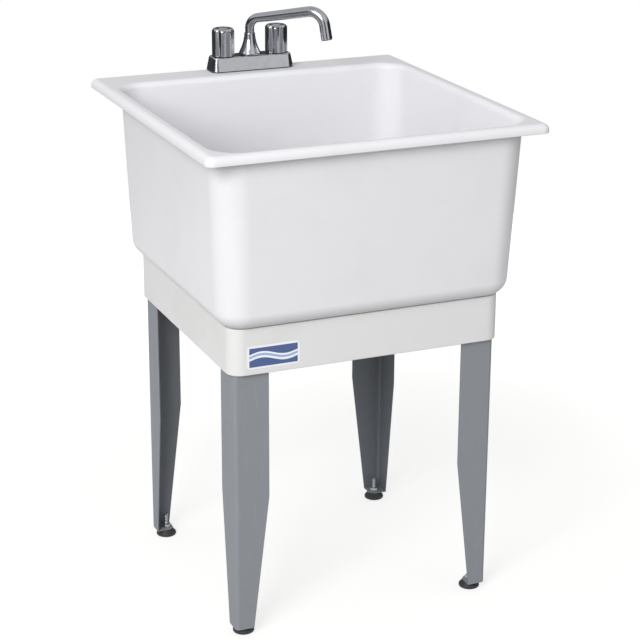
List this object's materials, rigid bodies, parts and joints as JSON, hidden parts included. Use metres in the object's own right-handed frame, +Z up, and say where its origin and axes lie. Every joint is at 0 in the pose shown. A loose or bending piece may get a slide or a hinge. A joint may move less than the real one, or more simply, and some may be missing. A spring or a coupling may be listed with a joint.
{
  "type": "utility laundry sink",
  "caption": "Freestanding laundry sink: deep moulded tub on a base skirt and folded steel legs with levelling feet, swing-spout faucet with turning handles, drain with stopper.",
  "frame": {"origin": "on the floor, below the middle of the rim", "axes": "+Z up, -Y is the front with the basin's user, +X to the user's right; the faucet stands at the rear, +Y"},
  "size_m": [0.584, 0.608, 0.9594],
  "materials": {
    "tub_plastic": "moulded, satin",
    "skirt_plastic": "moulded, matt",
    "leg_enamel": "satin grey enamel",
    "zinc_steel": "bright zinc",
    "stainless_steel": "brushed",
    "chrome_plate": "polished",
    "index_cap": "polished, with a small colour dot",
    "cast_brass": "machined",
    "black_rubber": "matt",
    "black_plastic": "moulded, matt",
    "white_plastic": "moulded, gloss",
    "decal_film": "printed film, blue and white bands, no lettering"
  },
  "bodies": {
    "sink": {"tub": "tub_plastic", "base_skirt": "skirt_plastic", "leg_front_left": "leg_enamel", "leg_front_right": "leg_enamel", "leg_rear_left": "leg_enamel", "leg_rear_right": "leg_enamel", "leg_screws": "zinc_steel", "foot_nuts": "zinc_steel", "skirt_decal": "decal_film", "drain_strainer": "stainless_steel", "drain_gasket": "black_rubber", "drain_locknut": "black_plastic", "tailpiece_washer": "black_rubber", "drain_tailpiece": "white_plastic", "tailpiece_nut": "white_plastic", "deck_gasket": "black_rubber", "faucet_cover": "chrome_plate", "faucet_body": "cast_brass", "shank_washers": "zinc_steel", "shank_nuts": "black_plastic", "hot_cartridge": "white_plastic", "cold_cartridge": "white_plastic", "hot_bonnet_nut": "cast_brass", "cold_bonnet_nut": "cast_brass", "spout_nut": "chrome_plate"},
    "hot_valve": {"hot_handle": "chrome_plate", "hot_stem": "cast_brass", "hot_handle_screw": "stainless_steel", "hot_index_button": "index_cap"},
    "cold_valve": {"cold_handle": "chrome_plate", "cold_stem": "cast_brass", "cold_handle_screw": "stainless_steel", "cold_index_button": "index_cap"},
    "swing_spout": {"spout": "chrome_plate", "spout_orings": "black_rubber", "aerator": "chrome_plate", "aerator_screen": "stainless_steel"},
    "drain_stopper": {"stopper": "black_rubber", "stopper_pull": "chrome_plate"},
    "foot_front_left": {"foot_pad_front_left": "black_plastic", "foot_stud_front_left": "zinc_steel"},
    "foot_front_right": {"foot_pad_front_right": "black_plastic", "foot_stud_front_right": "zinc_steel"},
    "foot_rear_left": {"foot_pad_rear_left": "black_plastic", "foot_stud_rear_left": "zinc_steel"},
    "foot_rear_right": {"foot_pad_rear_right": "black_plastic", "foot_stud_rear_right": "zinc_steel"}
  },
  "joints": [
    {"name": "hot_valve_turn", "type": "hinge", "parent": "sink", "child": "hot_valve", "pos_m": [-0.0508, 0.277, 0.87], "axis": [0, 0, 1], "range_deg": [0, 90]},
    {"name": "cold_valve_turn", "type": "hinge", "parent": "sink", "child": "cold_valve", "pos_m": [0.0508, 0.277, 0.87], "axis": [0, 0, -1], "range_deg": [0, 90]},
    {"name": "spout_swing", "type": "hinge", "parent": "sink", "child": "swing_spout", "pos_m": [0, 0.277, 0.866], "axis": [0, 0, 1], "continuous": true},
    {"name": "stopper_lift", "type": "slide", "parent": "sink", "child": "drain_stopper", "axis": [0, 0, 1], "range_m": [0, 0.06]},
    {"name": "foot_front_left_adjust", "type": "slide", "parent": "sink", "child": "foot_front_left", "axis": [0, 0, -1], "range_m": [0, 0.012]},
    {"name": "foot_front_right_adjust", "type": "slide", "parent": "sink", "child": "foot_front_right", "axis": [0, 0, -1], "range_m": [0, 0.012]},
    {"name": "foot_rear_left_adjust", "type": "slide", "parent": "sink", "child": "foot_rear_left", "axis": [0, 0, -1], "range_m": [0, 0.012]},
    {"name": "foot_rear_right_adjust", "type": "slide", "parent": "sink", "child": "foot_rear_right", "axis": [0, 0, -1], "range_m": [0, 0.012]}
  ]
}
